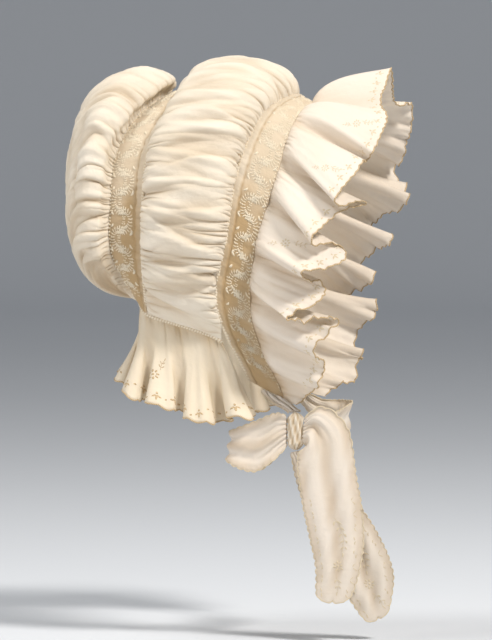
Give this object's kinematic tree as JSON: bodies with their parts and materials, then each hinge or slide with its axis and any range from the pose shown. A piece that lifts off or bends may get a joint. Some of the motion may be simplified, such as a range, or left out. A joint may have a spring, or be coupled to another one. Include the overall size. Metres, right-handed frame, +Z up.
{
  "type": "morning cap",
  "caption": "Gathered cotton morning cap with embroidered bands, a fluted frill around the face, a neck frill and ties knotted below the cheek.",
  "frame": {"origin": "where the top of the wearer's head meets the inside of the cap", "axes": "+X towards the face, +Y to the wearer's left, +Z up"},
  "size_m": [0.2358, 0.2253, 0.3935],
  "materials": {
    "cotton_mull": "matte",
    "embroidered_mull": "matte",
    "corded_piping": "matte"
  },
  "bodies": {
    "root": {"front_band": "embroidered_mull", "rear_band": "embroidered_mull", "front_piping": "corded_piping", "rear_piping": "corded_piping", "crown_puff": "cotton_mull", "back_puff": "cotton_mull", "face_frill": "cotton_mull", "neck_frill": "cotton_mull", "nape_binding": "corded_piping", "right_strap": "cotton_mull", "left_strap": "cotton_mull", "tie_loop": "cotton_mull", "right_tail": "cotton_mull", "left_tail": "cotton_mull", "tie_knot": "cotton_mull"}
  },
  "joints": []
}
